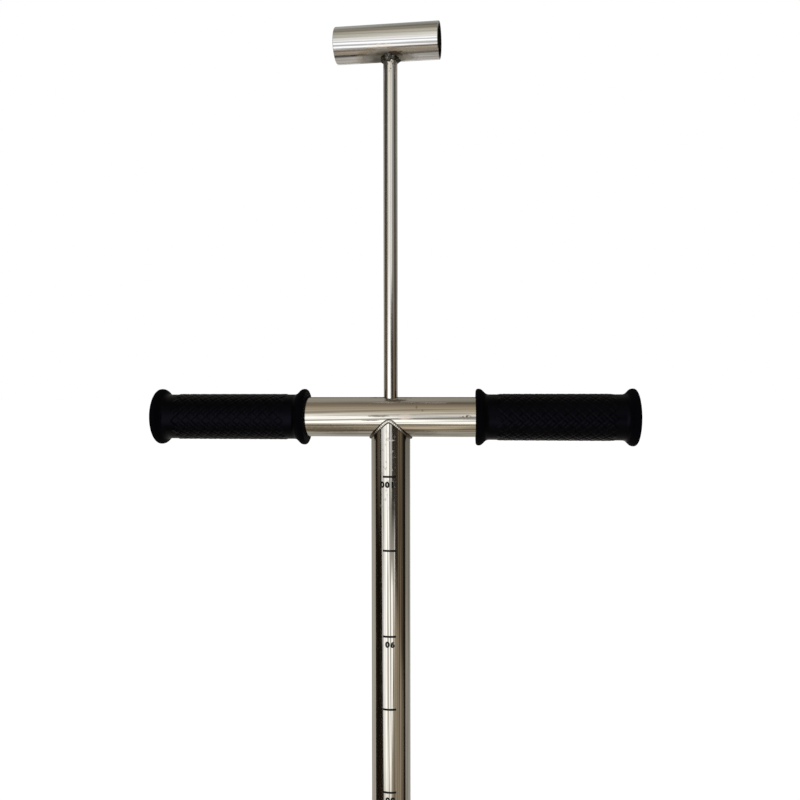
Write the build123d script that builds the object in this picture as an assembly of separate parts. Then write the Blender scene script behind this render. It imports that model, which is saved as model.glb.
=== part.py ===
from build123d import *
import math
import os

# Soil sampler probe. A graduated steel tube under a T handle is pushed into the ground and cuts
# a core. A push rod through the crossbar drives a piston that ejects the core.
# Millimetres, +Z up. The origin is the centre of the cutting edge, +X runs along the crossbar
# and the graduated side of the tube faces -Y.

# Driving dimensions: tubes and rod
TUBE_OD = 25.0            # sampling tube
TUBE_WALL = 1.5
BAR_OD = 25.4             # crossbar, a little wider than the tube that is coped to it
BAR_WALL = 1.5
BAR_LENGTH = 300.0
BAR_HEIGHT = 1037.0       # crossbar axis above the cutting edge
ROD_D = 9.0
ROD_HOLE_D = 9.4          # drilled through both walls of the crossbar
ROD_DRAWN = 214.0         # bare rod above the crossbar with the piston drawn partly up
HANDLE_OD = 22.0          # short tube across the top of the push rod
HANDLE_WALL = 1.5
HANDLE_LENGTH = 66.6
HANDLE_TURN = -4.5        # degrees about the rod, which turns freely
HANDLE_TILT = 1.4         # degrees out of square with the rod, because it is welded on by hand
HANDLE_SHIFT = -1.75      # of its middle from the rod, along the handle
HANDLE_DEBURR = 0.3

# Driving dimensions: grips
GRIP_FACE = 54.0          # inner face from the probe's axis
GRIP_LENGTH = 99.0        # from that face to the outer edge of the end rim
GRIP_OD = 28.8
GRIP_RIM_OD = 36.0        # a rim at each end keeps the hand on the grip
GRIP_RIM = 3.25           # thickness of a rim before its 45 degree flare
GRIP_EDGE_R = 1.6
GRIP_CREST_R = 3.0
GRIP_FOOT_R = 4.0
GRIP_CROWN = 1.2          # height of the domed closed end
GRIP_DOME_INSET = 2.0     # from the edge of the end rim to the foot of the dome

# Driving dimensions: cutting shoe
SHOE_OD = 26.0            # wider than the tube, so that the soil doesn't grip the tube behind it
SHOE_BORE_D = 20.6        # narrower than the tube, so that the core is loose above it
SHOE_EDGE = 0.25          # width of the cutting edge
SHOE_BEVEL = 10.0
SHOE_BODY = 18.0
SHOE_SHOULDER = 0.4       # chamfer where the shoe steps in to the tube
SHOE_SPIGOT = 6.0         # length inside the tube, short of the piston's wiper at the end of its stroke
SHOE_LEAD = 0.5           # lead-in at the top of the bore

# Driving dimensions: piston
HEAD_D = 20.0             # passes through the shoe
HEAD_LENGTH = 26.0
HEAD_FACE = 212.0         # underside of the head above the cutting edge
HEAD_CHAMFER = 1.0
STUD_D = 6.0              # reduced end of the rod, screwed into the head
STUD_REACH = 14.0
STUD_HOLE_DEPTH = 15.0
SPACER_OD = 10.0
SPACER_ID = 6.4
SPACER_HEIGHT = 8.4       # taller than the wiper, which stays free to turn
WIPER_OD = 21.7
WIPER_ID = 10.15
WIPER_HEIGHT = 7.8
WIPER_LIP = 2.2
WIPER_WAIST_D = 18.6
WASHER_OD = 20.0
WASHER_THICKNESS = 2.0

# Driving dimensions: weld beads
BEAD_WIDTH = 2.6          # across the saddle bead
BEAD_PROUD = 0.8          # above the tubes at the front and back of the saddle
BEAD_THROAT = 1.7         # in the corners at the sides of the saddle
BEAD_EDGE = 0.6
BEAD_DROP = 0.3           # the tube is narrower than the bar, so its saddle lies lower
BEAD_CREST_R = 8.0        # rounding where the two arms of the bead meet
BEAD_CREST_DROP = 1.0
ROD_BEAD = 2.4            # leg of the fillet under the rod handle

# Worked out from the dimensions above
TUBE_R = TUBE_OD / 2
TUBE_BORE_R = TUBE_R - TUBE_WALL
BAR_R = BAR_OD / 2
ROD_R = ROD_D / 2
HANDLE_R = HANDLE_OD / 2
HANDLE_HEIGHT = BAR_HEIGHT + BAR_R + ROD_DRAWN + HANDLE_R
SHOE_BORE_R = SHOE_BORE_D / 2
SPIGOT_TOP = SHOE_BODY + SHOE_SPIGOT
HEAD_TOP = HEAD_FACE + HEAD_LENGTH
SPACER_TOP = HEAD_TOP + SPACER_HEIGHT
ROD_SHOULDER = SPACER_TOP + WASHER_THICKNESS


def upright(radius, low, high):
    """Solid cylinder on the probe's axis between two heights."""
    return Pos(0, 0, low) * extrude(Circle(radius), high - low)


def across(radius, length, height):
    """Solid cylinder along X at a height."""
    return Pos(0, 0, height) * Rot(0, 90, 0) * Cylinder(radius, length)


def rod_handle_cylinder(radius):
    """Solid cylinder as long as the rod handle, turned, tilted and shifted as the handle is welded on."""
    welded_on = Rot(0, 0, HANDLE_TURN) * Rot(0, HANDLE_TILT, 0) * Pos(HANDLE_SHIFT, 0, 0)
    return Pos(0, 0, HANDLE_HEIGHT) * welded_on * across(radius, HANDLE_LENGTH, 0)


def turned(*outline):
    """Solid of revolution about the probe's axis from a closed (radius, height) outline."""
    return revolve(Plane.XZ * make_face(Polyline(*outline, close=True)), Axis.Z)


def make_sampling_tube():
    """Tube from the cutting shoe up to the crossbar, with its top end coped to the bar."""
    tube = upright(TUBE_R, SHOE_BODY, BAR_HEIGHT) - upright(TUBE_BORE_R, SHOE_BODY, BAR_HEIGHT)
    return tube - across(BAR_R, BAR_LENGTH, BAR_HEIGHT)


def make_cutting_shoe():
    """Bevelled cutting ring with a spigot inside the tube's lower end."""
    shoe_r = SHOE_OD / 2
    return turned(
        (SHOE_BORE_R, 0),
        (SHOE_BORE_R + SHOE_EDGE, 0),
        (shoe_r, SHOE_BEVEL),
        (shoe_r, SHOE_BODY - SHOE_SHOULDER),
        (shoe_r - SHOE_SHOULDER, SHOE_BODY),
        (TUBE_BORE_R, SHOE_BODY),
        (TUBE_BORE_R, SPIGOT_TOP),
        (SHOE_BORE_R + SHOE_LEAD, SPIGOT_TOP),
        (SHOE_BORE_R, SPIGOT_TOP - SHOE_LEAD),
    )


def make_crossbar():
    """Handle tube, drilled through both walls for the push rod."""
    bar = across(BAR_R, BAR_LENGTH, BAR_HEIGHT) - across(BAR_R - BAR_WALL, BAR_LENGTH, BAR_HEIGHT)
    return bar - upright(ROD_HOLE_D / 2, BAR_HEIGHT - BAR_OD, BAR_HEIGHT + BAR_OD)


def make_crossbar_weld():
    """Bead along the saddle between the tube and the crossbar.

    For tubes of one size the saddle is two half ellipses on 45 degree planes. Each arm is the rim
    of an elliptical disc on such a plane, left where the disc stands out of both tubes.
    """
    long_radius = TUBE_R * math.sqrt(2) + BEAD_THROAT
    disc = extrude(Ellipse(long_radius, TUBE_R + BEAD_PROUD), BEAD_WIDTH / 2, both=True)
    disc = chamfer(disc.edges(), BEAD_EDGE)
    arm = Plane(origin=(0, 0, BAR_HEIGHT - BEAD_DROP), x_dir=(1, 0, -1), z_dir=(1, 0, 1)) * disc
    arm &= Pos(BAR_OD, 0, BAR_HEIGHT) * Box(2 * BAR_OD, 2 * BAR_OD, 3 * BAR_OD)
    arm -= upright(TUBE_R, BAR_HEIGHT - 2 * BAR_OD, BAR_HEIGHT)
    arm -= across(BAR_R, 4 * BAR_OD, BAR_HEIGHT)
    bead = arm + mirror(arm, about=Plane.YZ)
    crest = Pos(0, 0, BAR_HEIGHT - BEAD_CREST_DROP - BEAD_CREST_R) * Rot(90, 0, 0)
    above = Pos(0, 0, BAR_HEIGHT) * Box(math.sqrt(2) * BEAD_CREST_R, 2 * BAR_OD, 2 * BEAD_WIDTH)
    return bead - (above - crest * Cylinder(BEAD_CREST_R, 3 * BAR_OD))


def make_right_grip():
    """Rubber grip with a flared rim at each end, closed and domed at the outer one."""
    end_face = GRIP_FACE + GRIP_LENGTH
    dome_tip = (end_face + GRIP_CROWN, 0)
    body_r, rim_r = GRIP_OD / 2, GRIP_RIM_OD / 2
    dome_r = rim_r - GRIP_DOME_INSET
    flare = GRIP_RIM + rim_r - body_r
    skin = FilletPolyline(
        (GRIP_FACE, BAR_R),
        (GRIP_FACE, rim_r),
        (GRIP_FACE + GRIP_RIM, rim_r),
        (GRIP_FACE + flare, body_r),
        (end_face - flare, body_r),
        (end_face - GRIP_RIM, rim_r),
        (end_face, rim_r),
        (end_face, dome_r),
        radius=[GRIP_EDGE_R, GRIP_CREST_R, GRIP_FOOT_R, GRIP_FOOT_R, GRIP_CREST_R, GRIP_EDGE_R],
    )
    ball_r = (dome_r**2 + GRIP_CROWN**2) / (2 * GRIP_CROWN)
    dome = RadiusArc((end_face, dome_r), dome_tip, ball_r)
    socket = Polyline(dome_tip, (BAR_LENGTH / 2, 0), (BAR_LENGTH / 2, BAR_R), (GRIP_FACE, BAR_R))
    half_section = make_face(skin + dome + socket)
    return Pos(0, 0, BAR_HEIGHT) * revolve(Plane.XZ * half_section, Axis.X)


def make_push_rod():
    """Round rod from the piston to its handle, with a reduced end for the piston's head."""
    rod = upright(ROD_R, ROD_SHOULDER, HANDLE_HEIGHT)
    rod += upright(STUD_D / 2, HEAD_TOP - STUD_REACH, ROD_SHOULDER)
    return rod - rod_handle_cylinder(HANDLE_R)


def make_rod_handle():
    """Short open tube across the top of the rod."""
    tube = rod_handle_cylinder(HANDLE_R) - rod_handle_cylinder(HANDLE_R - HANDLE_WALL)
    return chamfer(tube.edges().filter_by(GeomType.CIRCLE), HANDLE_DEBURR)


def make_rod_handle_weld():
    """Fillet around the rod's top, coped to the underside of its handle."""
    foot = HANDLE_HEIGHT - HANDLE_R - ROD_BEAD
    bead = turned(
        (ROD_R, foot),
        (ROD_R + ROD_BEAD / 2, foot + ROD_BEAD / 4),
        (ROD_R + ROD_BEAD, foot + ROD_BEAD),
        (ROD_R + ROD_BEAD, HANDLE_HEIGHT),
        (ROD_R, HANDLE_HEIGHT),
    )
    return bead - rod_handle_cylinder(HANDLE_R)


def make_piston_head():
    """Plug that pushes the core out, bored blind for the rod's stud."""
    head = chamfer(upright(HEAD_D / 2, HEAD_FACE, HEAD_TOP).edges(), HEAD_CHAMFER)
    return head - upright(STUD_D / 2, HEAD_TOP - STUD_HOLE_DEPTH, HEAD_TOP)


def make_piston_spacer():
    """Sleeve around the stud that the wiper turns on."""
    return upright(SPACER_OD / 2, HEAD_TOP, SPACER_TOP) - upright(SPACER_ID / 2, HEAD_TOP, SPACER_TOP)


def make_piston_wiper():
    """Rubber ring with two lips that run in the tube's bore."""
    low = HEAD_TOP + (SPACER_HEIGHT - WIPER_HEIGHT) / 2
    high = low + WIPER_HEIGHT
    waist_r, lip_r = WIPER_WAIST_D / 2, WIPER_OD / 2
    return turned(
        (WIPER_ID / 2, low),
        (lip_r, low),
        (waist_r, low + WIPER_LIP),
        (waist_r, high - WIPER_LIP),
        (lip_r, high),
        (WIPER_ID / 2, high),
    )


def make_piston_washer():
    """Backing washer between the spacer and the rod's shoulder."""
    return upright(WASHER_OD / 2, SPACER_TOP, ROD_SHOULDER) - upright(SPACER_ID / 2, SPACER_TOP, ROD_SHOULDER)


def main():
    right_grip = make_right_grip()
    parts = {
        "sampling_tube": make_sampling_tube(),
        "cutting_shoe": make_cutting_shoe(),
        "crossbar": make_crossbar(),
        "crossbar_weld": make_crossbar_weld(),
        "right_grip": right_grip,
        "left_grip": mirror(right_grip, about=Plane.YZ),
        "push_rod": make_push_rod(),
        "rod_handle": make_rod_handle(),
        "rod_handle_weld": make_rod_handle_weld(),
        "piston_head": make_piston_head(),
        "piston_spacer": make_piston_spacer(),
        "piston_wiper": make_piston_wiper(),
        "piston_washer": make_piston_washer(),
    }
    os.makedirs("parts", exist_ok=True)
    for name, shape in parts.items():
        export_step(shape, f"parts/{name}.step")


main()
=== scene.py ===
# %% [markdown]
# # A soil sampler probe
# This lesson dresses a hand tool that takes soil cores: its steel tube is pushed into the ground by the
# crossbar, and a rod with a piston pushes the core out again. The solids of all its pieces are in place
# already, so they are loaded first and never moved. What is left is the finish of every surface, and the
# pieces that need more than a plain solid: the woven rubber grips, the two welds and the printed scale.

# %% Load the solids as a fixed frame
import math

import bmesh
import bpy
import numpy as np
from mathutils import Matrix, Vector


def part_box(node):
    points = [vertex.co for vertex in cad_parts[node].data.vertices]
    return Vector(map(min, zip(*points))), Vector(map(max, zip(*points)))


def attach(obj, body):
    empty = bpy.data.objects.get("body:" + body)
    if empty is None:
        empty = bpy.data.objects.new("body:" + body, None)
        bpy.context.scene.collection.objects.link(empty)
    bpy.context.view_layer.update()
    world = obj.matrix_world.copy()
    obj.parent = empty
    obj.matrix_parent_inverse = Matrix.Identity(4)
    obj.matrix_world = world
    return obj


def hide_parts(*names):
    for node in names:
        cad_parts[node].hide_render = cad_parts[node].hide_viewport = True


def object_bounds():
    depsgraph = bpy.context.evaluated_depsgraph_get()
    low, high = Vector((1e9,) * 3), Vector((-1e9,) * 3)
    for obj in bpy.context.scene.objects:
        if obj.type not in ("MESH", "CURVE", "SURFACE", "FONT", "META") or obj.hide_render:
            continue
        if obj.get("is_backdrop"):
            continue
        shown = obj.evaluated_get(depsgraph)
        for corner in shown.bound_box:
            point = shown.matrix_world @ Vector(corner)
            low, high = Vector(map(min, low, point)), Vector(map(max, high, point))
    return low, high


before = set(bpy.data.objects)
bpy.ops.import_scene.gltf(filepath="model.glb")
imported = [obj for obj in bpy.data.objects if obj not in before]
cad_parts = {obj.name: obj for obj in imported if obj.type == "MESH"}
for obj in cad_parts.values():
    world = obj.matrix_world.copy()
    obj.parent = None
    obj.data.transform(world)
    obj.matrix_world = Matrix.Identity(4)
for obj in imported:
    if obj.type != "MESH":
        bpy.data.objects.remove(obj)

scene = bpy.context.scene
cad_low, cad_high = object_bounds()
print("solids:", ", ".join(sorted(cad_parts)))

# %% [markdown]
# Lengths are metres. The sizes that later steps share are read from the solids' boxes, so a piece made in
# this file meets its solid neighbours exactly.
# The rod's handle is welded on a little askew, so its box says little. Its points lie in rings at its
# two ends: their mean is its middle, and the direction in which they are spread the furthest is its axis.

# %% Sizes read from the solids
MM = 0.001


def middle_and_half(node, axis):
    """Centre and half the size of a solid along one axis (0, 1 or 2)."""
    low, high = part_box(node)
    return (low[axis] + high[axis]) / 2, (high[axis] - low[axis]) / 2


def mesh_points(mesh):
    """All vertices of a mesh as an array of points."""
    points = np.empty(len(mesh.vertices) * 3)
    mesh.vertices.foreach_get("co", points)
    return points.reshape(-1, 3)


def tube_axis(node):
    """Middle, direction (the points' first singular vector) and outer radius of a straight tube."""
    points = np.unique(mesh_points(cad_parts[node].data), axis=0)
    middle = points.mean(0)
    direction = np.linalg.svd(points - middle, full_matrices=False)[2][0]
    radius = np.linalg.norm(np.cross(points - middle, direction), axis=1).max()
    return middle, direction * np.sign(direction[0]), radius


TUBE_R = middle_and_half("sampling_tube", 0)[1]
BAR_Z, BAR_R = middle_and_half("crossbar", 2)
BAR_END = middle_and_half("crossbar", 0)[1]
ROD_R = middle_and_half("push_rod", 0)[1]
HANDLE_AT, HANDLE_ALONG, HANDLE_R = tube_axis("rod_handle")
HANDLE_SLANT = (0.0, -math.asin(HANDLE_ALONG[2]), math.atan2(HANDLE_ALONG[1], HANDLE_ALONG[0]))
# Where the handle's axis crosses the rod's:
HANDLE_Z = HANDLE_AT[2] - HANDLE_AT[0] * HANDLE_ALONG[2] / HANDLE_ALONG[0]
for name, radius in (("tube", TUBE_R), ("crossbar", BAR_R), ("rod", ROD_R), ("rod handle", HANDLE_R)):
    print(f"{name}: {2 * radius / MM:.1f} mm")
print("the handle's slant in degrees:", np.degrees(HANDLE_SLANT).round(1))

# %% [markdown]
# ## Shader maths as plain expressions
# Nodes can be linked by hand, but a formula is easier to read. One small class wraps a socket: adding or
# multiplying two wrapped sockets adds the Math node that does it, and one method adds any other kind of node.


# %% The class that wraps a socket
class Signal:
    """A socket's value. Arithmetic on it adds Math nodes, and node() adds a node of any other kind."""

    def __init__(self, tree, socket=None):
        self.tree = tree
        self.socket = socket

    def node(self, kind, sockets=None, output=0, **settings):
        """Adds one node: its settings first, then its sockets' values or links. Gives one output."""
        made = self.tree.nodes.new("ShaderNode" + kind)
        for name, value in settings.items():
            if name == "stops":
                set_stops(made.color_ramp, value)
            else:
                setattr(made, name, value)
        for name, value in (sockets or {}).items():
            self.plug(made.inputs[name], value)
        return Signal(self.tree, made.outputs[output] if made.outputs else None)

    def plug(self, socket, value):
        """Links a signal to a socket, or sets the socket's own value."""
        if isinstance(value, Signal):
            self.tree.links.new(value.socket, socket)
        else:
            socket.default_value = value

    def math(self, operation, first, second=0.0):
        return self.node("Math", {0: first, 1: second}, operation=operation)

    def __add__(self, other):
        return self.math("ADD", self, other)

    def __sub__(self, other):
        return self.math("SUBTRACT", self, other)

    def __rsub__(self, other):
        return self.math("SUBTRACT", other, self)

    def __mul__(self, other):
        return self.math("MULTIPLY", self, other)

    def __neg__(self):
        return self.math("MULTIPLY", self, -1.0)

    def __abs__(self):
        return self.math("ABSOLUTE", self)

    __radd__ = __add__
    __rmul__ = __mul__

    def axis(self, name):
        """One coordinate (X, Y or Z) of a vector."""
        return self.node("SeparateXYZ", {0: self}, name)

    def from_axis(self, one, other):
        """Distance of a place from an axis, out of its two coordinates square to that axis."""
        a, b = self.axis(one), self.axis(other)
        return self.math("SQRT", a * a + b * b)

    def step(self, low, high):
        """0 below low and 1 above high, eased in between."""
        ends = {"Value": self, "From Min": low, "From Max": high}
        return self.node("MapRange", ends, interpolation_type="SMOOTHSTEP")

    def band(self, low, high, soft):
        """1 between low and high, fading to 0 over the soft width at each end."""
        return self.step(low - soft, low + soft) * (1 - self.step(high - soft, high + soft))

    def colours(self, low, high):
        """Mix of two colours, low where this is 0 and high where it is 1."""
        return self.node("Mix", {0: self, 6: low, 7: high}, 2, data_type="RGBA")

    def noise(self, scale, detail=2.0):
        """Smooth noise about 0.5 of this place; its features are 1/scale metres long, or so on each axis."""
        scale = scale if isinstance(scale, tuple) else (scale,) * 3
        stretched = self.node("VectorMath", {0: self, 1: scale}, operation="MULTIPLY")
        return self.node("TexNoise", {"Vector": stretched, "Scale": 1.0, "Detail": detail})

    def bump(self, strength, distance):
        """Normal of a surface whose height is this signal times distance in metres."""
        return self.node("Bump", {"Strength": strength, "Distance": distance, "Height": self})


def set_stops(ramp, stops):
    """Fills a colour ramp from (position, colour) pairs in rising order."""
    for index, (position, colour) in enumerate(stops):
        element = ramp.elements[index] if index < 2 else ramp.elements.new(position)
        element.position = position
        element.color = colour


RED_RISE, RED_STEEPNESS = 0.35, 1.5


def grey(level, warmth=0.0):
    """A neutral colour of one level; warmth lowers its blue and raises its red, more and more steeply."""
    red = 1 + warmth * (RED_RISE + RED_STEEPNESS * warmth)
    return (level * red, level, level * (1 - warmth), 1.0)


print("signals: sums, products, axes, steps, bands, mixes, noise and bumps")

# %% [markdown]
# A finish starts as one Principled shader and a signal of each point's place in Object coordinates. Every
# piece sits at the origin, so this place is in the same metres everywhere.

# %% Start a finish and feed its shader


def start_finish(name):
    """A new material with one Principled shader, and the signal of a point's place in metres."""
    material = bpy.data.materials.new(name)
    material.use_nodes = True
    return material, Signal(material.node_tree).node("TexCoord", output="Object")


def feed(material, **sockets):
    """Sets or links sockets of the Principled shader; Base_Color stands for Base Color."""
    shader = material.node_tree.nodes["Principled BSDF"]
    for name, value in sockets.items():
        Signal(material.node_tree).plug(shader.inputs[name.replace("_", " ")], value)
    return material


def finish_node(node, material):
    """Gives a solid of the frame a finish through its material slot."""
    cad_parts[node].material_slots[0].material = material
    print(f"{node}: {material.name}")


# %% [markdown]
# ## A surface from a grid of points
# New pieces are grids: a formula gives a whole array of points at once, and neighbouring points make the
# quads. A direction that comes round on itself is wrapped, and points that fall together (the pole of a
# dome) are merged, so that every piece is a closed skin with no seam.

# %% Turn a grid of points into a piece


def add_piece(mesh, material):
    """A new object at the origin, named as its smooth shaded mesh, with one material."""
    mesh.shade_smooth()
    mesh.materials.append(material)
    piece = bpy.data.objects.new(mesh.name, mesh)
    scene.collection.objects.link(piece)
    return piece


def points_at(x, y, z):
    """Points from three arrays of coordinates that fit one another's shapes."""
    return np.stack(np.broadcast_arrays(x, y, z), axis=-1)


def grid_quads(rows, columns, wrap_rows, wrap_columns):
    """Corner numbers of every quad between neighbouring rows and columns of a grid."""
    row = np.arange(rows if wrap_rows else rows - 1)[:, None]
    column = np.arange(columns if wrap_columns else columns - 1)[None, :]
    next_row, next_column = (row + 1) % rows, (column + 1) % columns
    corners = (row * columns + column, row * columns + next_column,
               next_row * columns + next_column, next_row * columns + column)
    return np.stack(corners, axis=-1).reshape(-1, 4)


def grid_mesh(name, points, wrap_rows=False, wrap_columns=True):
    """Mesh of one grid (rows, columns, 3) or of a stack of grids, merged at its poles, facing outwards."""
    rows, columns = points.shape[-3:-1]
    vertices = points.reshape(-1, 3)
    starts = np.arange(0, len(vertices), rows * columns)[:, None, None]
    quads = (starts + grid_quads(rows, columns, wrap_rows, wrap_columns)).reshape(-1, 4)
    mesh = bpy.data.meshes.new(name)
    mesh.from_pydata(vertices.tolist(), [], quads.tolist())
    merged = bmesh.new()
    merged.from_mesh(mesh)
    bmesh.ops.remove_doubles(merged, verts=merged.verts, dist=MM / 1000)
    bmesh.ops.recalc_face_normals(merged, faces=merged.faces)
    merged.to_mesh(mesh)
    merged.free()
    print(f"{name}: {len(mesh.polygons)} faces")
    return mesh


# %% [markdown]
# ## The camera
# The photograph was taken from a little above the crossbar, close in front of it and slightly to its right.
# The camera's focal length is given in pixels of the 800 pixel wide picture and turned into millimetres on
# a 36 mm sensor. Its axes are written out as a matrix, so that no order of rotations matters.

# %% Place the camera
PICTURE_PX = 800
FOCAL_PX = 702.7
CAMERA_AT = np.array([45.5 * MM, -447.9 * MM, BAR_Z + 17.9 * MM])
CAMERA_TURN = (-5.048, -0.904, -0.07)     # degrees: to the left of straight ahead, down, and about itself

yaw, pitch, roll = np.radians(CAMERA_TURN)
ahead = np.array([np.sin(yaw) * np.cos(pitch), np.cos(yaw) * np.cos(pitch), np.sin(pitch)])
level_right = np.array([np.cos(yaw), -np.sin(yaw), 0.0])
level_up = np.cross(level_right, ahead)
right = np.cos(roll) * level_right + np.sin(roll) * level_up
up = np.cos(roll) * level_up - np.sin(roll) * level_right

camera = bpy.data.objects.new("camera", bpy.data.cameras.new("camera"))
camera.data.lens = camera.data.sensor_width * FOCAL_PX / PICTURE_PX
camera.data.clip_start = 0.01
camera.matrix_world = Matrix(np.column_stack([right, up, -ahead]).tolist()).to_4x4()
camera.location = CAMERA_AT
scene.collection.objects.link(camera)
scene.camera = camera
print(f"lens {camera.data.lens:.1f} mm, {np.linalg.norm(CAMERA_AT - [0, 0, BAR_Z]):.2f} m from the crossbar")

# %% [markdown]
# ## The studio
# The white background comes from the world and the floor, not from more light on the object: the camera's
# rays see white, while the light on the object stays at a plain level. The floor is pale and matt with a
# little glow for the camera, so it is white in the open and still takes a shadow.

# %% Background, floor and lamp
SKY_LEVEL = 0.55       # soft light from all round
LAMP_LEVEL = 1.1       # the lamp above the viewer's left shoulder
LAMP_WIDTH = math.radians(25)
LAMP_TURN = [math.radians(angle) for angle in (38, -14, -25)]
FLOOR_TONE = 0.82
FLOOR_GLOW = 0.36
FLOOR_HALF = 60.0

scene.view_settings.view_transform = "Standard"


def empty_tree(owner):
    """Clears the nodes of a material or world and gives a signal to build new ones from."""
    owner.use_nodes = True
    owner.node_tree.nodes.clear()
    return Signal(owner.node_tree)


def seen_directly(root):
    """1 for rays from the camera, or from it by way of metal or glass, and 0 for the light on surfaces."""
    kinds = ("Camera", "Glossy", "Transmission")
    rays = [root.node("LightPath", output=f"Is {kind} Ray") for kind in kinds]
    return (rays[0] + rays[1] + rays[2]).step(0.0, 1.0)


def paint_world():
    """White for the camera, a soft grey sky for everything else."""
    world = bpy.data.worlds.new("studio")
    scene.world = world
    root = empty_tree(world)
    sky = root.node("Background", {"Color": grey(1.0), "Strength": SKY_LEVEL})
    white = root.node("Background", {"Color": grey(1.0), "Strength": 1.0})
    mixed = root.node("MixShader", {0: seen_directly(root), 1: sky, 2: white})
    root.node("OutputWorld", {"Surface": mixed})
    world.cycles.sampling_method = "NONE"


def paint_floor():
    """Matt pale floor with a glow that only the camera sees."""
    material = bpy.data.materials.new("floor_paint")
    root = empty_tree(material)
    matt = root.node("BsdfDiffuse", {"Color": grey(FLOOR_TONE)})
    dark = root.node("Emission", {"Color": grey(1.0), "Strength": 0.0})
    glow = root.node("Emission", {"Color": grey(1.0), "Strength": FLOOR_GLOW})
    shown = root.node("MixShader", {0: seen_directly(root), 1: dark, 2: glow})
    root.node("OutputMaterial", {"Surface": root.node("AddShader", {0: matt, 1: shown})})
    return material


paint_world()
corners = FLOOR_HALF * np.array([[(-1, -1, 0), (-1, 1, 0)], [(1, -1, 0), (1, 1, 0)]])
floor = add_piece(grid_mesh("floor", corners, wrap_columns=False), paint_floor())
floor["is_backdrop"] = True

lamp = bpy.data.objects.new("lamp", bpy.data.lights.new("lamp", "SUN"))
lamp.data.energy = LAMP_LEVEL
lamp.data.angle = LAMP_WIDTH
lamp.rotation_euler = LAMP_TURN
lamp.visible_glossy = False
scene.collection.objects.link(lamp)

# %% [markdown]
# ## What the steel mirrors
# Polished steel has hardly any colour of its own: its bands are the room around it. Here that is a tall
# bright window in front, with a dark card on either side and the viewer's dark shape in its right half, and
# a plain grey room behind. A round tent stands in for all this. Only mirror rays see it, so it neither
# lights the object nor shows in the picture.

# %% The tent that the steel mirrors
TENT_R = 2.5
TENT_TOP = 3.4
GROUND_CARD = 0.5 * MM      # just above the floor, so that mirror rays meet it first
MIRROR_STRENGTH = 1.8       # the brightest panel; the colours below are shares of it


def tent_grid():
    """Drum round the probe: a line from near its foot out, up the wall and in again, turned about Z."""
    radius = np.array([0.006, 0.3, 1.0, 1.0, 1.0, 0.3, 0.0])[:, None] * TENT_R
    height = np.array([0.0, 0.0, 0.0, 0.5, 1.0, 1.0, 1.0])[:, None] * TENT_TOP + GROUND_CARD
    turn = np.linspace(0, 2 * np.pi, 96, endpoint=False)
    return points_at(radius * np.sin(turn), radius * np.cos(turn), height)


def share(level, warmth):
    """Paint of a panel whose mirrored light has a level, as a share of the brightest panel."""
    return grey(level / MIRROR_STRENGTH, warmth)


def panels(angle, rows):
    """Paint that changes with an angle; the rows are (degrees, level, warmth) in rising order."""
    low, high = rows[0][0], rows[-1][0]
    stops = [((degrees - low) / (high - low), share(level, warmth)) for degrees, level, warmth in rows]
    return angle.node("ValToRGB", {0: (angle - low) * (1 / (high - low))}, stops=stops)


print(f"tent {2 * TENT_R:.0f} m wide and {TENT_TOP} m high")

# %% [markdown]
# The tent is painted by direction: how far round a point lies from straight ahead of the tool, and how high
# above the crossbar, both in degrees. Each table lists a level of light and its warmth at some angles, and
# masks lay one table over another: the near floor, the floor under the slanted sill, the cards, the viewer.

# %% Paint the tent's front
FROM_BELOW_UP = ((-90, 0.1, 0.27), (-76, 0.21, 0.27), (-62, 0.36, 0.25), (-55, 0.41, 0.25),
                 (-49, 0.28, 0.25), (-40.5, 0.27, 0.25), (-37.5, 1.35, 0.08), (-31, 1.78, 0.05),
                 (-24, 1.78, 0.03), (2, 1.72, 0.02), (9, 1.3, 0.06), (15, 0.95, 0.1), (26, 0.74, 0.16),
                 (36, 0.5, 0.23), (50, 0.47, 0.25), (63, 0.31, 0.28), (77, 0.21, 0.28), (90, 0.11, 0.3))
NEAR_FLOOR = ((-90, 0.25, 0.27), (-75, 0.43, 0.27), (-61, 0.69, 0.25), (-54, 0.74, 0.25))
RIGHT_CARD = ((26, 0.020, 0.35), (41, 0.025, 0.35), (46, 0.12, 0.35), (60, 0.16, 0.35), (68, 0.14, 0.35),
              (76, 0.05, 0.35), (80, 0.018, 0.35), (98, 0.012, 0.35))
RIGHT_CARD_TOP = ((26, 0.55, 0.1), (45, 0.33, 0.12), (60, 0.22, 0.15), (74, 0.05, 0.25), (98, 0.04, 0.25))
SILL = 42.5     # degrees round at which the slanted sill is level with the crossbar


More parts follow.
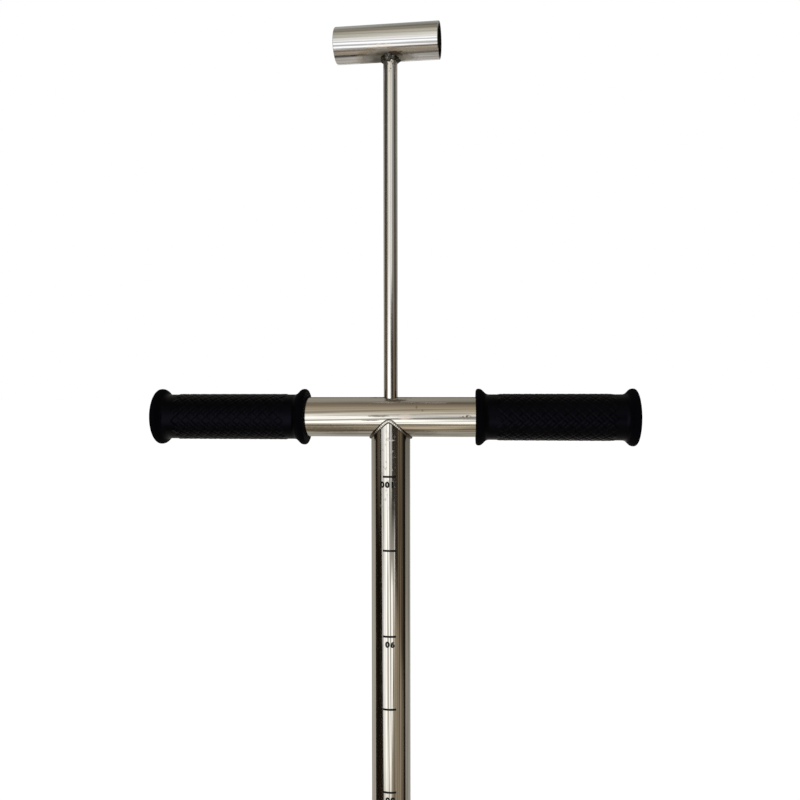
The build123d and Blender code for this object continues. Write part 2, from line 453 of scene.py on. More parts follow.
def paint_front(round_by, above):
    """The window, the floors below it, the right card, the viewer and the left card, in that order."""
    shade = (1 - round_by.step(-62, -18)) * above.step(-62, -45) * (1 - above.step(60, 76)) * 0.7
    paint = shade.colours(panels(above, FROM_BELOW_UP), grey(0.0))
    near = round_by.step(-16, -8) * (1 - above.step(-54, -49))
    paint = near.colours(paint, panels(above, NEAR_FLOOR))
    depth = round_by - SILL - above
    ground = depth.step(0, 14).colours(share(0.58, 0.2), share(0.34, 0.26))
    paint = (depth.step(-3, 3) * round_by.step(2, 8)).colours(paint, ground)

    card = above.step(2, 12).colours(panels(round_by, RIGHT_CARD), panels(round_by, RIGHT_CARD_TOP))
    under_card = (-12.5 - round_by * 0.18 - above).step(-3, 3) * (1 - round_by.step(76, 82))
    card = under_card.colours(card, share(0.3, 0.28))
    paint = (round_by.step(25.5, 29) * above.band(-50, 50, 6)).colours(paint, card)

    shoulder = round_by.step(-8, -2) * above.band(-15, 9, 3.5) * 0.55
    body = round_by.step(5, 12) * above.band(-13, 10, 2.5)
    viewer = round_by.math("MAXIMUM", shoulder, body) * (1 - round_by.step(36, 42))
    paint = viewer.colours(paint, share(0.05, 0.25))

    left_edge = abs(above + 3) * 0.35 - 50
    left_card = (left_edge - round_by).step(-1, 1) * above.band(-50, 40, 6)
    fold = round_by.band(-76, -58, 5) * above.step(-15, -5)
    dark = fold.colours(share(0.012, 0.45), share(0.13, 0.3))
    return left_card.colours(paint, above.step(5, 30).colours(dark, share(0.06, 0.2)))


# %% [markdown]
# The room behind is a little darker on the right. A doorway, a skylight and a dark beam in it give the rod's
# edges and the crossbar's upper edge their fine bright and dark lines.

# %% Paint the room behind and hang the tent
BEHIND = ((-90, 0.5, 0.13), (-25, 0.52, 0.12), (-12, 0.45, 0.12), (-4, 0.34, 0.14), (8, 0.31, 0.14),
          (30, 0.36, 0.14), (58, 0.42, 0.14), (72, 0.38, 0.15), (82, 0.26, 0.18), (90, 0.11, 0.22))


def paint_room(x, round_by, above):
    """A grey room with a bright doorway and skylight, and a dark beam above them."""
    room = (1 - x.step(-1.5, 1.5) * 0.25).colours(grey(0.0), panels(above, BEHIND))
    door = round_by.band(165, 176, 2) * above.band(-45, -3, 4)
    skylight = abs(round_by).step(152, 162) * above.band(-1, 9, 2)
    beam = abs(round_by).step(158, 166) * above.band(13, 33, 3)
    return beam.colours((door + skylight).colours(room, share(1.1, 0.05)), share(0.07, 0.14))


def paint_tent():
    """Emission by the direction from the crossbar's middle: the front, and the room behind the tool."""
    material = bpy.data.materials.new("tent_paint")
    root = empty_tree(material)
    place = root.node("TexCoord", output="Object")
    x, y, z = (place.axis(name) for name in "XYZ")
    round_by = root.math("ARCTAN2", x, -y) * math.degrees(1)
    above = root.math("ARCTAN2", z - BAR_Z, place.from_axis("X", "Y")) * math.degrees(1)
    behind = 1 - (round_by + above.step(5, 25) * 12).step(-97, -93) + round_by.step(96, 100)
    paint = behind.colours(paint_front(round_by, above), paint_room(x, round_by, above))
    shown = root.node("Emission", {"Color": paint, "Strength": MIRROR_STRENGTH})
    root.node("OutputMaterial", {"Surface": shown})
    material.cycles.emission_sampling = "NONE"
    return material


tent = add_piece(grid_mesh("tent", tent_grid()), paint_tent())
tent.visible_camera = tent.visible_diffuse = tent.visible_transmission = tent.visible_shadow = False
tent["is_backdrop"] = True

# %% [markdown]
# ## Drawn stainless steel
# The tubes and the rod are drawn through a die, which leaves fine lines along them, and polished by hand,
# so the lines lean a little. They are noise stretched along the piece. They change how much light the mirror
# gives back and hardly tilt the normal, so the bands stay straight. A few single marks run the whole length,
# each at its own angle round the tube.

# %% Lines and marks of drawn steel
ORIGIN = (0.0, 0.0, 0.0)
STEEL = (grey(0.63, 0.05), grey(0.2, 0.12))        # sampling tube and crossbar: plain, and in a dark line
ROD_STEEL = (grey(0.8, 0.01), grey(0.36, 0.02))
# The handle's front, its upper side with a painted cool sheen, and a dark line:
HANDLE_STEEL = ((0.797, 0.8, 0.825, 1.0), (0.82, 0.91, 0.99, 1.0), grey(0.26, -0.03))


def along_piece(lengthwise, across, along):
    """Noise scale (per metre) with one value along the piece's own axis and another across it."""
    return tuple(along if axis == lengthwise else across for axis in "XYZ")


def own_place(place, middle, slant):
    """The place in a piece's own axes: measured from its middle, with its slant (three angles) undone."""
    off = place.node("VectorMath", {0: place, 1: middle}, operation="SUBTRACT")
    turn = {"Vector": off, "Rotation": slant}
    return place.node("VectorRotate", turn, rotation_type="EULER_XYZ", invert=True)


def drawn_steel(name, lengthwise, lean=0.0, middle=ORIGIN, slant=ORIGIN):
    """Starts a metal finish: its material, its own place, and the darkness and roughness of its lines."""
    material, place = start_finish(name)
    place = own_place(place, middle, slant)
    turn = {"Vector": place, "Angle": math.radians(lean)}
    leaning = place.node("VectorRotate", turn, rotation_type="Y_AXIS")
    lines = leaning.noise(along_piece(lengthwise, 1100, 5), 3)
    grain = leaning.noise(along_piece(lengthwise, 5000, 60))
    haze = place.noise(70, 3)
    dark = lines.step(0.46, 0.63) * 0.75 + grain.step(0.45, 0.75) * 0.12
    spread = haze.step(0.35, 0.75) * 0.04 + grain * 0.05 + 0.065
    feed(material, Metallic=1.0, Normal=lines.bump(0.1, 0.02 * MM))
    return material, place, dark, spread


def wall_angle(place, lengthwise, height=0.0):
    """Angle round a tube from its front, in degrees: to the right on an upright one, up on a level one."""
    side = place.axis("X") if lengthwise == "Z" else place.axis("Z") - height
    return place.math("ARCTAN2", side, -place.axis("Y")) * math.degrees(1)


def die_marks(angle, along, radius, marks):
    """Darkness of single lines; a mark is (degrees, lean in degrees a metre, half width in mm, darkness)."""
    total = 0.0
    for degrees, lean, half_width, darkness in marks:
        gap = abs(angle - along * lean - degrees) * (radius * math.radians(1))
        total = (1 - gap.step(half_width * MM * 0.3, half_width * MM)) * darkness + total
    return total


# %% [markdown]
# The sampling tube is marked most at its upper end: small dull flecks, two short dark streaks and one cross
# scratch. A fleck only roughens the mirror, so it is dark in a bright band and bright in a dark one.

# %% The sampling tube
TUBE_MARKS = ((27.3, -33, 0.5, 0.55), (26.1, -23, 0.6, 0.45), (-11, 0, 0.45, 0.35),
              (-17, 0, 0.4, 0.3))
# The streaks: a mark, and how many mm under the crossbar it starts and ends.
SCORES = (((9.9, 0, 1.6, 1), 48, 96), ((12.2, 0, 0.6, 1), 80, 180))


def tube_steel():
    """Drawn steel with streaks, flecks and a scratch near its top."""
    material, place, dark, spread = drawn_steel("tube_steel_drawn", "Z")
    x, z = place.axis("X"), place.axis("Z")
    angle = wall_angle(place, "Z")
    dark = dark + die_marks(angle, z, TUBE_R, TUBE_MARKS)
    for mark, start, end in SCORES:
        reach = z.band(BAR_Z - end * MM, BAR_Z - start * MM, 12 * MM)
        dark = die_marks(angle, z, TUBE_R, (mark,)) * reach + dark
    worked = z.band(BAR_Z - 58 * MM, BAR_Z - 8 * MM, 9 * MM) * x.band(-6 * MM, 5 * MM, 1.5 * MM)
    fleck = place.noise((750, 750, 450), 3).step(0.55, 0.7) * worked
    scratch = abs(z - BAR_Z + 14.3 * MM).step(0.5 * MM, 0.2 * MM) * x.band(-2.5 * MM, 3.5 * MM, 1 * MM)
    tone = (dark + fleck * 0.3 - scratch).colours(*STEEL)
    return feed(material, Base_Color=tone, Roughness=spread + fleck * 0.2 + scratch * 0.3)


finish_node("sampling_tube", tube_steel())

# %% [markdown]
# The crossbar's lines rise a little to the right. The saddle weld's heat left two dark streaks beside the
# joint and a faint pink blush on the other side. Underneath, the long dark brown patch on the left is painted
# shade, and a short one lies right of the tube. There are two small smudges and a row of brown specks, and
# painted shade and reflection of the rod lie beside its hole. Each is an ellipse on the unrolled wall, with a
# ragged edge from noise. A painted shadow rings the hole. The dark line in the middle of the bar's bright
# band is a painted reflection. Hands have worn most of the lines off the bar's upper side.

# %% The crossbar
# The first line is a painted reflection: a dark line in the middle of the bar's bright band.
BAR_MARKS = ((-4, 70, 0.9, 0.75), (-14, 60, 0.5, 0.35), (7, 60, 0.4, 0.3))
# Patches: middle along the bar in mm, degrees up, half length and half width in mm.
STREAKS = ((-6.5, 4.5, 9, 0.9), (-11.5, -8, 7, 0.6))
BLUSH = ((10.5, 1, 5.5, 3.0),)
SMUDGES = ((17.3, 30, 0.8, 1.7), (21, 20, 0.8, 1.1))
SPECKS = ((48, 1.5, 6.0, 1.5),)
# Painted shade and reflection of the rod on the bar's top, beside its hole:
ROD_SHADE = ((-9, 80, 8, 2.6), (10, 80, 9, 2.6), (4, 58, 9, 1.7))
# Underneath: painted shade on the left, and a short dark brown patch right of the tube:
UNDERSIDE_DARK = ((21, -54, 14, 3.2), (-38, -37, 30, 3.2))
# The dark of the stains and of the painted shade:
STAIN_AND_SHADE = grey(0.09, 0.35)
PINK_STEEL = (0.64, 0.55, 0.5, 1.0)


def patches_on(x, angle, radius, ragged, rows):
    """How far inside ragged ellipses on a bar's wall a point is, 0 to 1, summed over the rows."""
    total = 0.0
    for middle, degrees, half_length, half_width in rows:
        along = (x - middle * MM) * (1 / (half_length * MM))
        across = (angle - degrees) * (radius * math.radians(1) / (half_width * MM))
        total = 1 - (along * along + across * across + ragged).step(0.0, 1.0) + total
    return total


def bar_steel():
    """Drawn steel with weld heat, smudges, specks, dark patches underneath, and painted shade by the rod's
    hole.
    """
    material, place, dark, spread = drawn_steel("crossbar_steel_drawn", "X", lean=1.0)
    x, z = place.axis("X"), place.axis("Z")
    angle = wall_angle(place, "X", BAR_Z)
    ragged = (place.noise((500, 1200, 1200), 3) - 0.5) * 2
    streaks, blush, smudges, specks, rod_shade, underside_dark = (
        patches_on(x, angle, BAR_R, ragged, rows)
        for rows in (STREAKS, BLUSH, SMUDGES, SPECKS, ROD_SHADE, UNDERSIDE_DARK))
    smooth_top = angle.step(15, 35) * 0.86
    dark = dark * (1 - smooth_top) + die_marks(angle, x, BAR_R, BAR_MARKS) + streaks * 0.9
    tone = (blush * 0.7).colours(dark.colours(*STEEL), PINK_STEEL)
    # Painted shade under the bar left of the tube, and the dark patch right of it:
    tone = (underside_dark * 0.42).colours(tone, STAIN_AND_SHADE)
    # A painted shadow round the rod, where it enters its hole:
    hole_shadow = 1 - place.from_axis("X", "Y").step(ROD_R + 0.5 * MM, ROD_R + 1.4 * MM)
    dots = place.noise((700, 1300, 1300)).step(0.47, 0.55)
    # Stains, and the painted shade and shadow of the rod:
    stains_and_shade = smudges * 0.45 + specks * dots + rod_shade * 0.8 + hole_shadow * z.step(BAR_Z, BAR_Z + 4 * MM)
    return feed(material, Base_Color=stains_and_shade.colours(tone, STAIN_AND_SHADE), Roughness=spread + stains_and_shade * 0.3)


finish_node("crossbar", bar_steel())

# %% [markdown]
# The rod is brighter, because it slides and stays clean. Near its top it is painted cooler and brighter
# still, against the warm light it mirrors there. Close under its handle it carries spatter from the weld:
# dark dots that thin out downwards. The piston's washer and spacer are made of the same steel.

# %% The rod
SPATTER = grey(0.1, 0.2)
# Painted cooler and brighter towards the top, against the warm light the rod mirrors there:
ROD_TOP = (0.92, 0.95, 1.0, 1.0)


def rod_steel():
    """Bright drawn steel, painted cooler near its top against warm mirrored light, with weld spatter under
    the handle.
    """
    material, place, dark, spread = drawn_steel("rod_steel_drawn", "Z")
    z = place.axis("Z")
    top = z.step(HANDLE_Z - HANDLE_R - 14 * MM, HANDLE_Z - HANDLE_R)
    spatter = (place.noise(1100) + top * 0.16).step(0.68, 0.74) * top.step(0, 0.1)
    plain = z.step(HANDLE_Z - 180 * MM, HANDLE_Z - 50 * MM).colours(ROD_STEEL[0], ROD_TOP)
    tone = (spatter * 0.85).colours((dark * 0.6).colours(plain, ROD_STEEL[1]), SPATTER)
    return feed(material, Base_Color=tone, Roughness=spread + spatter * 0.3 + 0.03)


rod_finish = rod_steel()
for node in ("push_rod", "piston_spacer", "piston_washer"):
    finish_node(node, rod_finish)

# %% [markdown]
# The short handle's lines follow its own slanted axes. Its front has a scuffed strip, and its upper side a
# cooler tone that is a painted cool sheen. The weld's heat shows on its underside: a dull brown patch, longer
# along the handle than round it, with a ragged rim of straw colour, scorched spots and a dull side. The patch
# is the distance to the weld, squeezed along the handle. Its bore has a dark skin.

# %% The rod handle's heat tint
HANDLE_MARKS = ((-27, -85, 0.6, 0.8), (-17, -60, 0.45, 0.55), (-36, -85, 0.35, 0.3),
                (-59.7, 24, 1, 0.85))
HEAT_MIDDLE = -2.9 * MM     # along the handle from its middle
HEAT_SQUEEZE = 0.64
BURNT = grey(0.18, 0.08)
TINTED = grey(0.36, 0.07)
STRAW = (0.58, 0.53, 0.49, 1.0)
SCORCH = ((1.5, -57, 11, 1.8), (7, -60, 8, 2.6))
SCORCHED = grey(0.1, 0.2)
DULL = ((12, -77, 10, 4.5),)
BORE_SKIN = grey(0.02, 0.2)


def burnt_handle():
    """Bright drawn steel that dulls and browns towards the weld under the handle and is black in its bore."""
    material, place, dark, spread = drawn_steel("rod_handle_steel", "X", -0.9, HANDLE_AT, HANDLE_SLANT)
    x, y, z = (place.axis(name) for name in "XYZ")
    angle = wall_angle(place, "X")
    scuffed = angle.band(-40, -9, 4) * 0.36
    dark = dark * 0.55 + die_marks(angle, x, HANDLE_R, HANDLE_MARKS) + scuffed
    along, below = (x - HEAT_MIDDLE) * HEAT_SQUEEZE, z + HANDLE_R
    gap = place.math("SQRT", along * along + y * y + below * below)
    ragged = gap + (place.noise(300, 4) - 0.5) * (5.5 * MM)
    straw = ragged.band(9.2 * MM, 11.2 * MM, 1.0 * MM) * 0.8
    edge = (place.noise((400, 900, 900), 3) - 0.5) * 1.6
    tint = 1 - ragged.step(7.5 * MM, 10.5 * MM) + patches_on(x, angle, HANDLE_R, edge, DULL)
    burnt = 1 - ragged.step(2.5 * MM, 8 * MM)
    scorch = patches_on(x, angle, HANDLE_R, edge, SCORCH) * 0.7
    front, cool_sheen, line = HANDLE_STEEL
    # The upper side's tone is a painted cool sheen:
    plain = angle.step(-10, 4).colours(front, cool_sheen)
    plain = straw.colours(dark.colours(plain, line), STRAW)
    tone = scorch.colours(burnt.colours((tint * 0.8).colours(plain, TINTED), BURNT), SCORCHED)
    inside = 1 - place.from_axis("Y", "Z").step(HANDLE_R - 1.4 * MM, HANDLE_R - 1.0 * MM)
    return feed(material, Base_Color=inside.colours(tone, BORE_SKIN),
                Roughness=spread + tint * 0.3 + burnt * 0.1 + inside * 0.3 + 0.07)


finish_node("rod_handle", burnt_handle())

# %% [markdown]
# ## The cutting shoe and the piston
# The shoe is turned on a lathe, so its fine lines are rings. The piston's head is natural nylon, waxy and a
# little see-through, with the same rings, and its wiper is plain black rubber.

# %% Turned steel, nylon and the wiper's rubber
RING_SCALE = (0, 0, 4200)


def turned_shoe():
    """Hardened steel with rings from the lathe, worn brighter towards the cutting edge."""
    material, place = start_finish("shoe_steel_turned")
    rings = place.noise(RING_SCALE)
    scuffs = place.noise((500, 500, 120), 4)
    worn = 1 - place.axis("Z").step(1 * MM, 11 * MM)
    tone = (scuffs.step(0.45, 0.7) * (1 - worn * 0.7)).colours(grey(0.58, 0.05), grey(0.34, 0.12))
    return feed(material, Base_Color=tone, Roughness=rings * 0.16 + scuffs * 0.14 + 0.12, Metallic=1.0,
                Normal=rings.bump(0.5, 0.03 * MM))


def turned_nylon():
    """Waxy off-white plastic with faint rings and a grubby tint."""
    material, place = start_finish("piston_nylon")
    rings = place.noise(RING_SCALE)
    grime = place.noise((180, 180, 260), 4).step(0.42, 0.78)
    tone = grime.colours((0.78, 0.76, 0.7, 1.0), (0.6, 0.55, 0.45, 1.0))
    return feed(material, Base_Color=tone, Roughness=rings * 0.15 + 0.38, Normal=rings.bump(0.4, 0.03 * MM),
                Subsurface_Weight=0.1, Subsurface_Scale=1 * MM)


def black_rubber(name, tone, grain_scale, rough, shine, cast, shiny_part=None):
    """Black rubber: fine moulded grain in the bump, patches of dull and shiny skin, and a cast on its shine.

    Where a shiny part is given, as two distances from the middle along X, the rest is matt.
    """
    material, place = start_finish(name)
    grain = place.noise(grain_scale, 3)
    patches = place.noise(120, 3)
    colour = patches.step(0.35, 0.75).colours(tone, tuple(1.7 * part for part in tone[:3]) + (1.0,))
    matt = (1 - abs(place.axis("X")).band(*shiny_part, 1 * MM)) * 0.45 if shiny_part else 0.0
    return feed(material, Base_Color=colour, Roughness=patches * 0.2 + grain * 0.1 + rough - 0.15 + matt,
                Normal=grain.bump(0.3, 0.05 * MM), Specular_IOR_Level=shine, Specular_Tint=cast)


finish_node("cutting_shoe", turned_shoe())
finish_node("piston_head", turned_nylon())
finish_node("piston_wiper", black_rubber("wiper_rubber_moulded", grey(0.012), 2500.0, 0.55, 0.3, grey(1.0)))

# %% [markdown]
# ## The rubber grips
# Each grip is a moulded sleeve with a flared rim at both ends, pushed over the crossbar. Its hand area has a
# woven pattern: strands that cross at 45 degrees, over and under, each with two fine ridges. It is real
# relief, which keeps its outline and shadow: the grip is a surface of revolution whose radius is raised by
# the pattern. The outline is a line with rounded corners.

# %% The grip's outline
GRIP_IN, GRIP_TIP = (corner.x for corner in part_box("right_grip"))
GRIP_RIM_R = middle_and_half("right_grip", 2)[1]
GRIP_BODY_R = 14.4 * MM
GRIP_CROWN = 1.2 * MM
GRIP_RIM = 3.25 * MM
DOME_INSET = 2.0 * MM
ROUNDS = np.array([1.6, 3.0, 4.0, 4.0, 3.0, 1.6]) * MM
SOCKET_GAP = 0.02 * MM      # the sleeve's bore clears the bar by a hair


def unit(vectors):
    """Rows of vectors, each brought to length 1."""
    return vectors / np.linalg.norm(vectors, axis=1, keepdims=True)


def rounded_line(corners, radii, arc_steps):
    """Points of a line whose inner corners are arcs, each starting radius * tan(turn / 2) from its corner."""
    before = unit(corners[:-2] - corners[1:-1])
    after = unit(corners[2:] - corners[1:-1])
    half_open = np.arccos(np.clip((before * after).sum(1), -1, 1)) / 2
    inward = unit(before + after)
    centre = corners[1:-1] + inward * (radii / np.sin(half_open))[:, None]
    half_turn = np.pi / 2 - half_open
    sweep = np.linspace(-1, 1, arc_steps)[None, :] * half_turn[:, None]
    sideways = unit(after - before)
    arcs = (centre[:, None] - inward[:, None] * (np.cos(sweep) * radii[:, None])[..., None]
            + sideways[:, None] * (np.sin(sweep) * radii[:, None])[..., None])
    return np.concatenate([corners[:1], arcs.reshape(-1, 2), corners[-1:]])


def spread_points(line, spacing):
    """Points along a line no further apart than a spacing, with every corner of the line kept."""
    gaps = np.linalg.norm(np.diff(line, axis=0), axis=1)
    counts = np.maximum(np.ceil(gaps / spacing).astype(int), 1)
    start = np.repeat(np.arange(len(gaps)), counts)
    number = np.arange(counts.sum()) - np.repeat(np.cumsum(counts) - counts, counts)
    points = line[start] + (number / counts[start])[:, None] * (line[start + 1] - line[start])
    return np.concatenate([points, line[-1:]])


def grip_outline(spacing):
    """(distance along the bar, radius) from the mouth of the socket over the rims to the dome's tip."""
    end = GRIP_TIP - GRIP_CROWN
    flare = GRIP_RIM + GRIP_RIM_R - GRIP_BODY_R
    dome_r = GRIP_RIM_R - DOME_INSET
    corners = np.array([
        (GRIP_IN, BAR_R + SOCKET_GAP), (GRIP_IN, GRIP_RIM_R), (GRIP_IN + GRIP_RIM, GRIP_RIM_R),
        (GRIP_IN + flare, GRIP_BODY_R), (end - flare, GRIP_BODY_R), (end - GRIP_RIM, GRIP_RIM_R),
        (end, GRIP_RIM_R), (end, dome_r)])
    radius = np.linspace(dome_r, 0.0, 14)[1:]
    dome = np.column_stack([end + GRIP_CROWN * (1 - (radius / dome_r) ** 2), radius])
    socket = np.array([(BAR_END, 0.0), (BAR_END, BAR_R + SOCKET_GAP)])
    skin = spread_points(rounded_line(corners, ROUNDS, 9), spacing)
    return np.concatenate([socket, skin, dome])


outline = grip_outline(0.35 * MM)
print(f"grip outline: {len(outline)} points, {GRIP_IN / MM:.1f} to {GRIP_TIP / MM:.1f} mm along the bar")

# %% [markdown]
# The woven pattern is a height that depends on two counts: repeats along the grip and repeats round it. It
# has whole squares, so it ends in a zigzag before the smooth, matt strip beside each rim. The rubber is
# nearly black: what is seen of the pattern is its shine.

# %% The woven relief and both grips
STRANDS_ROUND = 14          # pattern repeats round the grip
STRANDS_ALONG = 11          # and along it
STRAND_LENGTH = 6.7 * MM
SAMPLES_PER_STRAND = 20
RELIEF = 0.38 * MM


def weave(along, around):
    """Height 0 to 1 of a basket weave turned 45 degrees; both inputs count pattern repeats.

    The sum and difference of the two counts are the strands' own directions. Squares of a checkerboard take
    turns: in one the strand runs along the sum, in the next along the difference. Across the strand the
    height is two ridges, and along it the strand dives at both ends of its square. Squares whose middle is
    off the hand area stay flat.
    """
    one, other = along + around, along - around
    square = np.floor(one) + np.floor(other)
    raised = (square > -1) & (square < 2 * STRANDS_ALONG - 1)
    over = square % 2 < 1
    run = np.where(over, one, other) % 1.0
    width = np.where(over, other, one) % 1.0
    ridges = 0.62 + 0.38 * np.abs(np.sin(2 * np.pi * width))
    edge = np.clip(8 * np.minimum(width, 1 - width), 0, 1)
    dive = np.clip(4.5 * np.minimum(run, 1 - run), 0, 1)
    return raised * ridges * edge * np.sqrt(dive)


def grip_grid(side, twist):
    """The outline turned about the bar (side 1 or -1), raised by the weave; a twist in repeats turns that."""
    columns = STRANDS_ROUND * SAMPLES_PER_STRAND
    turn = np.linspace(0, 2 * np.pi, columns, endpoint=False)
    along, radius = outline[:, :1], outline[:, 1:]
    start = (GRIP_IN + GRIP_TIP - GRIP_CROWN - STRANDS_ALONG * STRAND_LENGTH) / 2
    height = weave((along - start) / STRAND_LENGTH, turn * STRANDS_ROUND / (2 * np.pi) - twist)
    raised = radius + RELIEF * height * (radius > BAR_R + 1 * MM)
    return points_at(side * along, raised * np.cos(turn), BAR_Z + raised * np.sin(turn))


GRIP_BLACK = (0.0005, 0.0005, 0.0008, 1.0)
BLUISH = (0.64, 0.62, 1.0, 1.0)
HAND_AREA = (GRIP_IN + 6 * MM, GRIP_TIP - 7 * MM)
grip_finish = black_rubber("grip_rubber_moulded", GRIP_BLACK, 1800.0, 0.36, 0.07, BLUISH, HAND_AREA)
for name, side, twist in (("right_grip", 1, 0.0), ("left_grip", -1, 0.35)):
    grip = add_piece(grid_mesh(name + "_moulded", grip_grid(side, twist)), grip_finish)
    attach(grip, "sampler")
    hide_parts(name)

# %% [markdown]
# ## The welds
# A weld bead is a row of frozen ripples along the saddle where one tube meets the other. At each point the
# two walls give its section: a toe on either wall, a rounded face and a root inside the metal. One formula
# makes both welds: the long bright one under the crossbar, and the small burnt one under the rod's handle,
# which runs further down the rod at its front and back.

# %% Beads on the saddle of two tubes
WELD_ROOT = 0.5 * MM        # how deep the bead reaches into the metal


def saddle_frame(post_r, bar_r, steps):
    """The saddle round an upright post under a bar along X: its path, the walls' normals, run and length.

    The path is a turn round the post, at the height where the post's wall meets the bar's underside.
    """
    turn = np.linspace(0, 2 * np.pi, steps, endpoint=False)
    out = points_at(np.cos(turn), np.sin(turn), 0.0)
    depth = np.sqrt(bar_r ** 2 - (post_r * out[:, 1]) ** 2)
    path = points_at(post_r * out[:, 0], post_r * out[:, 1], -depth)
    bar_out = points_at(0.0, post_r * out[:, 1], -depth) / bar_r
    run = np.roll(path, -1, axis=0) - np.roll(path, 1, axis=0)
    length = np.cumsum(np.linalg.norm(run, axis=1) / 2)
    return path, out, bar_out, unit(run), length


def bead_grid(post_r, bar_r, leg, front_leg, reach, crown, ripple, ripple_length, steps, lumps):
    """A closed ring: at each step of the saddle a section of two toes, a rounded face and a buried root.

    The leg is how far the bead runs down the post, at the sides of the saddle and at its front and back,
    and the reach is how far it runs out along the bar.
    """
    path, post_out, bar_out, run, length = saddle_frame(post_r, bar_r, steps)
    leg = leg + (front_leg - leg) * post_out[:, 1:2] ** 2
    down = np.cross(post_out, run)
    down *= -np.sign(down[:, 2:])
    aside = np.cross(run, bar_out)
    aside *= np.sign((aside * (post_out + [0, 0, 1])).sum(1, keepdims=True))
    outward = unit(post_out + bar_out)

    turn = 2 * np.pi * length / length[-1]
    phase = turn * np.round(length[-1] / ripple_length)
    swell = 1 + lumps * (np.sin(3 * turn + 1.0) + np.sin(7 * turn) + 0.7 * np.sin(12 * turn))
    across = np.linspace(-1, 1, 15)[None, :, None]
    toes = path[:, None] + swell[:, None, None] * (
        (leg * down)[:, None] * (1 - across) / 2 + reach * aside[:, None] * (1 + across) / 2)
    face = 1 - across ** 2
    ripples = ripple * np.cos(phase[:, None, None] + 1.3 * across ** 2) * np.sqrt(face)
    chord = toes + outward[:, None] * (crown * swell[:, None, None] * face + ripples)
    buried = np.stack([path + aside * reach * 0.6 - outward * WELD_ROOT, path - outward * WELD_ROOT * 1.2,
                       path + down * leg * 0.6 - outward * WELD_ROOT], axis=1)
    return np.concatenate([chord, buried], axis=1)


def laid_along(points, height, direction):
    """Points made round a level bar along X, with the bar laid along a direction at a height on the post.

    X goes over to the direction, Y to the level line square to it, and Z stays upright, as the post does.
    """
    level = math.hypot(direction[0], direction[1])
    axes = np.array([direction, (-direction[1], direction[0], 0), (0, 0, level)]) / level
    return points @ axes + [0, 0, height]


print(f"the crossbar's saddle is {saddle_frame(TUBE_R, BAR_R, 640)[-1][-1] / MM:.0f} mm long")

# %% [markdown]
# The metal of a bead is mottled and gritty. Its toes are dark with soot and painted shade, and the narrow
# corners at its sides carry painted shadow.

# %% The weld metal and both beads


def weld_metal(name, post_r, bar_r, bar_at, bar_slant, tone, burnt, toe, rough):
    """Weld steel: mottled, with fine grit, soot and painted shade at its toes and painted shadow at its
    sides.
    """
    material, place = start_finish(name)
    off_post = place.from_axis("X", "Y") - post_r
    off_bar = own_place(place, bar_at, bar_slant).from_axis("Y", "Z") - bar_r
    # Painted shadow in the narrow corners at the saddle's sides:
    beside = abs(place.axis("X")).step(post_r * 0.4, post_r * 0.8) * 0.85
    face = off_post.step(toe * 0.7, toe * 1.4) * off_bar.step(toe * 0.3, toe * 0.8) * (1 - beside)
    mottle = place.noise(1000, 4)
    grit = place.noise(5000)
    colour = (mottle.step(0.42, 0.62) * 0.8).colours(tone, burnt)
    # The dark of soot and painted shade at the toes, and of painted shadow at the sides:
    return feed(material, Base_Color=face.colours(grey(0.03, 0.3), colour), Metallic=1.0,
                Roughness=mottle * 0.3 + rough - 0.15, Normal=grit.bump(0.3, 0.03 * MM))


saddle = bead_grid(TUBE_R, BAR_R, leg=1.35 * MM, front_leg=1.35 * MM, reach=1.25 * MM, crown=0.5 * MM,
                   ripple=0.05 * MM, ripple_length=1.3 * MM, steps=640, lumps=0.05)
saddle = laid_along(saddle, BAR_Z, (1, 0, 0))
bright_weld = weld_metal("weld_bright", TUBE_R, BAR_R, (0.0, 0.0, BAR_Z), ORIGIN,
                         grey(0.68, 0.03), grey(0.36, 0.15), 0.45 * MM, 0.28)
saddle_weld = add_piece(grid_mesh("crossbar_weld_bead", saddle, True, True), bright_weld)
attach(saddle_weld, "sampler")
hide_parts("crossbar_weld")

handle_bead = bead_grid(ROD_R, HANDLE_R, leg=0.5 * MM, front_leg=3.2 * MM, reach=1.9 * MM, crown=0.35 * MM,
                        ripple=0.08 * MM, ripple_length=1.0 * MM, steps=360, lumps=0.12)
handle_bead = laid_along(handle_bead, HANDLE_Z, HANDLE_ALONG)
burnt_weld = weld_metal("weld_burnt", ROD_R, HANDLE_R, HANDLE_AT, HANDLE_SLANT,
                        grey(0.19, 0.08), grey(0.015, 0.2), 0.4 * MM, 0.5)
handle_weld = add_piece(grid_mesh("rod_handle_weld_bead", handle_bead, True, True), burnt_weld)
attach(handle_weld, "plunger")
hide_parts("rod_handle_weld")

# %% [markdown]
# ## The printed scale
# The tube is printed with a depth scale: a short line every 5 cm from the cutting edge, and a number under
# every second line, standing on its head for someone who bends over the tool. The lines are thin bars that
# follow the tube's own cylinder, and some of them were printed slightly off their places.

# %% Lines of the scale
CM = 0.01
LINE_LENGTH = 8.4 * MM
LINE_SHIFT = 0.2 * MM       # its middle, round the tube from the front
LINE_HEIGHT = 1.25 * MM
INK = 0.04 * MM             # how far the print stands out of the tube
HALF_MARK_SHIFT = 3.6 * MM  # the lines between the numbers are printed a little high
SLIPS = {80: 1.1 * MM, 90: -0.4 * MM}
marks_cm = np.arange(5, 101, 5)
mark_z = marks_cm * CM + [HALF_MARK_SHIFT if mark % 10 else SLIPS.get(mark, 0.0) for mark in marks_cm]


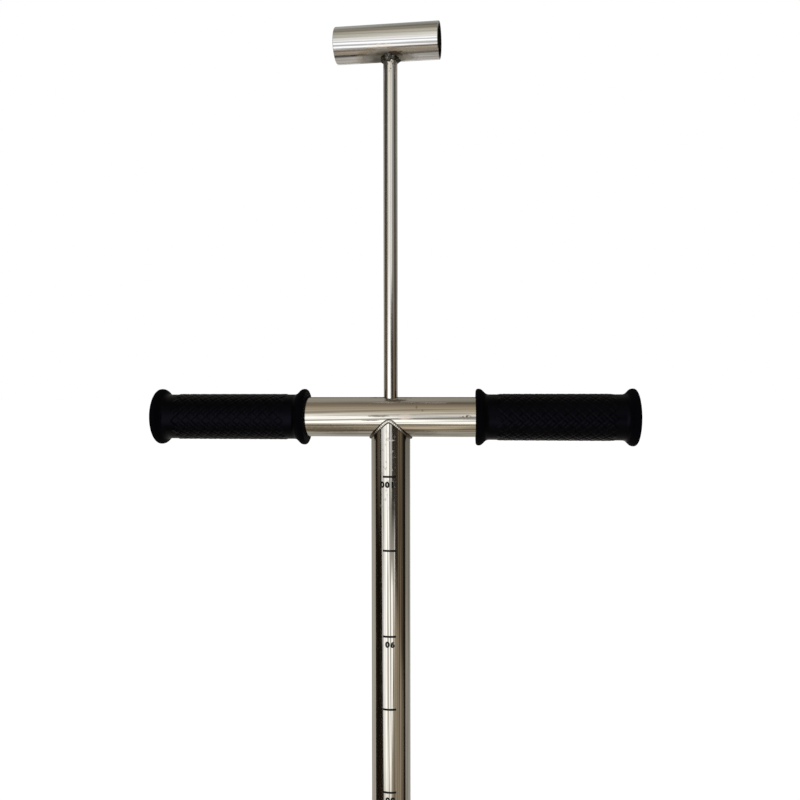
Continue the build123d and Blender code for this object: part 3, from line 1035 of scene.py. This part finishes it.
def scale_lines():
    """A stack of closed bars on the tube: the section of a thin bar, carried along an arc for each mark."""
    arc = (np.linspace(-0.5, 0.5, 25)[:, None] * LINE_LENGTH + LINE_SHIFT) / TUBE_R
    radius = TUBE_R + INK * np.array([-1, 1, 1, -1])
    rise = LINE_HEIGHT / 2 * np.array([-1, -1, 1, 1]) + mark_z[:, None, None]
    bars = points_at(radius * np.sin(arc), -radius * np.cos(arc), rise)
    middle = np.broadcast_to(bars.mean(axis=2, keepdims=True), bars.shape)
    return np.concatenate([middle[:, :1], bars, middle[:, -1:]], axis=1)


def ink():
    """Black print that is rubbed thinner in places."""
    material, place = start_finish("scale_ink")
    rubbed = place.noise((900, 900, 500), 4).step(0.5, 0.8)
    tone = rubbed.colours(grey(0.004), grey(0.035, 0.1))
    return feed(material, Base_Color=tone, Roughness=rubbed * 0.2 + 0.4, Specular_IOR_Level=0.15)


ink_finish = ink()
lines_piece = add_piece(grid_mesh("scale_lines", scale_lines()), ink_finish)
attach(lines_piece, "sampler")

# %% [markdown]
# Each digit starts as flat text, becomes a mesh and is cut into narrow upright strips so that it can bend.
# It is then rolled onto the tube: across becomes an angle, and depth a radius. The digits are spaced as on
# the real tool and joined in one mesh.

# %% Numbers of the scale
DIGIT_HEIGHT = 4.0 * MM
DIGIT_WIDEN = 1.05
DIGIT_ADVANCE = 3.25 * MM   # from one digit's middle to the next
NUMBER_START = 2.2 * MM     # first digit's middle, round the tube from the front
NUMBER_DROP = 3.0 * MM      # from a line's middle to the near edge of its number
STRIP = 0.3 * MM


def flat_digit(text):
    """Mesh data of one bold digit, DIGIT_HEIGHT tall, centred across and standing on zero."""
    curve = bpy.data.curves.new("digit", "FONT")
    curve.body = text
    curve.extrude = 0.5
    curve.offset = 0.065
    writing = bpy.data.objects.new("digit", curve)
    mesh = bpy.data.meshes.new_from_object(writing)
    bpy.data.objects.remove(writing)
    points = mesh_points(mesh)
    low, high = points.min(0), points.max(0)
    scale = DIGIT_HEIGHT / (high[1] - low[1])
    points -= [(low[0] + high[0]) / 2, low[1], 0]
    points *= [scale * DIGIT_WIDEN, scale, 2 * INK]
    mesh.vertices.foreach_set("co", points.ravel())
    return mesh


def rolled_digit(text, middle, top):
    """A digit cut into strips, turned on its head and rolled onto the tube, below a height."""
    work = bmesh.new()
    work.from_mesh(flat_digit(text))
    bmesh.ops.remove_doubles(work, verts=work.verts, dist=MM / 1000)
    for cut in np.arange(-DIGIT_ADVANCE, DIGIT_ADVANCE, STRIP):
        parts = work.verts[:] + work.edges[:] + work.faces[:]
        bmesh.ops.bisect_plane(work, geom=parts, plane_co=(cut, 0, 0), plane_no=(1, 0, 0), dist=MM / 1000)
    mesh = bpy.data.meshes.new("digit")
    work.to_mesh(mesh)
    work.free()
    x, y, depth = mesh_points(mesh).T
    angle = (middle - x) / TUBE_R
    radius = TUBE_R + depth
    rolled = points_at(radius * np.sin(angle), -radius * np.cos(angle), top - NUMBER_DROP - y)
    mesh.vertices.foreach_set("co", rolled.ravel())
    return mesh


numbers = bmesh.new()
for number, line_z in zip(marks_cm[1::2], mark_z[1::2]):
    for index, digit in enumerate(str(number)):
        numbers.from_mesh(rolled_digit(digit, NUMBER_START - index * DIGIT_ADVANCE, line_z))
bmesh.ops.recalc_face_normals(numbers, faces=numbers.faces)
numbers_mesh = bpy.data.meshes.new("scale_numbers")
numbers.to_mesh(numbers_mesh)
numbers.free()
numbers_piece = add_piece(numbers_mesh, ink_finish)
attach(numbers_piece, "sampler")
print(f"scale: {len(marks_cm)} lines and {len(numbers_mesh.polygons)} faces of numbers")

# %% [markdown]
# ## The size of the dressed tool
# The dressed tool should keep the solids' box; both boxes are printed.

# %% Write the sizes and finish
seen_low, seen_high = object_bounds()
for name, size in (("solids", cad_high - cad_low), ("dressed", seen_high - seen_low)):
    print(name, [round(side, 4) for side in size])
